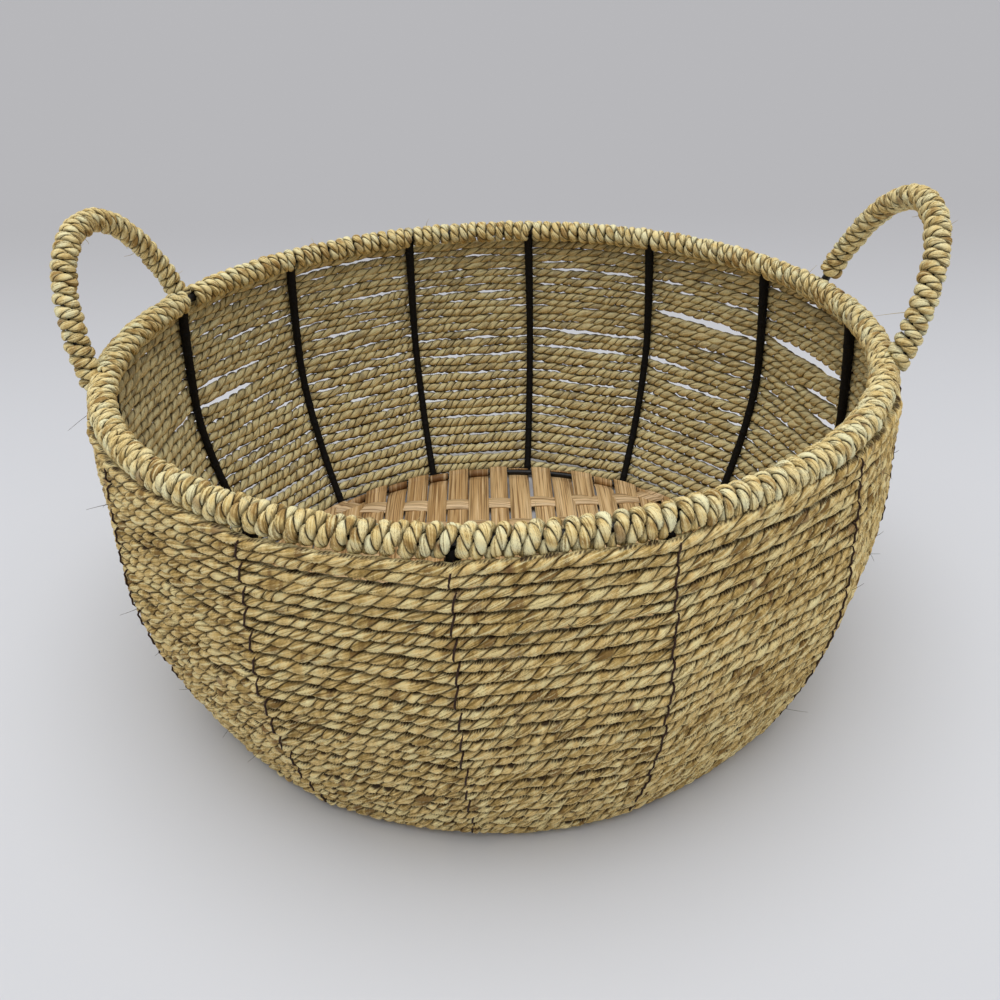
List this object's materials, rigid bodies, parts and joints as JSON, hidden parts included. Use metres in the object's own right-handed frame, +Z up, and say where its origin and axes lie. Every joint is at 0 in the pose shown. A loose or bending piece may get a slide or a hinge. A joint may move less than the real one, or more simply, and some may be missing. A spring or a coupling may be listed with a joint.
{
  "type": "belly basket",
  "caption": "Round bellied storage basket: rope wall wound on a wire frame, corded rim, two fixed loop handles, woven strip base.",
  "frame": {"origin": "on the floor under the middle of the basket", "axes": "+Z up; +X from the left handle to the right handle; +Y towards the side that the handles are set back to"},
  "size_m": [0.4316, 0.4044, 0.2362],
  "materials": {
    "black_wire": "satin black coating",
    "wall_seagrass": "dry twisted grass rope, matte with a slight fibre sheen",
    "wrap_seagrass": "plump dry grass cord, matte with a slight fibre sheen",
    "stitch_thread": "dark spun thread, matte",
    "flat_strip": "bare shaved strip, matte, straight grain"
  },
  "bodies": {
    "root": {"base_mat": "flat_strip", "base_ring": "black_wire", "handle_wire_left": "black_wire", "handle_wire_right": "black_wire", "handle_wrap_left": "wrap_seagrass", "handle_wrap_right": "wrap_seagrass", "rib_01": "black_wire", "rib_02": "black_wire", "rib_03": "black_wire", "rib_04": "black_wire", "rib_05": "black_wire", "rib_06": "black_wire", "rib_07": "black_wire", "rib_08": "black_wire", "rib_09": "black_wire", "rib_10": "black_wire", "rib_11": "black_wire", "rib_12": "black_wire", "rib_13": "black_wire", "rib_14": "black_wire", "rim_ring": "black_wire", "rim_wrap_01": "wrap_seagrass", "rim_wrap_02": "wrap_seagrass", "rim_wrap_03": "wrap_seagrass", "rim_wrap_04": "wrap_seagrass", "rim_wrap_05": "wrap_seagrass", "rim_wrap_06": "wrap_seagrass", "rim_wrap_07": "wrap_seagrass", "rim_wrap_08": "wrap_seagrass", "rim_wrap_09": "wrap_seagrass", "rim_wrap_10": "wrap_seagrass", "rim_wrap_11": "wrap_seagrass", "rim_wrap_12": "wrap_seagrass", "rim_wrap_13": "wrap_seagrass", "rim_wrap_14": "wrap_seagrass", "rim_wrap_15": "wrap_seagrass", "rim_wrap_16": "wrap_seagrass", "stitch_thread_01": "stitch_thread", "stitch_thread_02": "stitch_thread", "stitch_thread_03": "stitch_thread", "stitch_thread_04": "stitch_thread", "stitch_thread_05": "stitch_thread", "stitch_thread_06": "stitch_thread", "stitch_thread_07": "stitch_thread", "stitch_thread_08": "stitch_thread", "stitch_thread_09": "stitch_thread", "stitch_thread_10": "stitch_thread", "stitch_thread_11": "stitch_thread", "stitch_thread_12": "stitch_thread", "stitch_thread_13": "stitch_thread", "stitch_thread_14": "stitch_thread", "wall_rope": "wall_seagrass"}
  },
  "joints": []
}
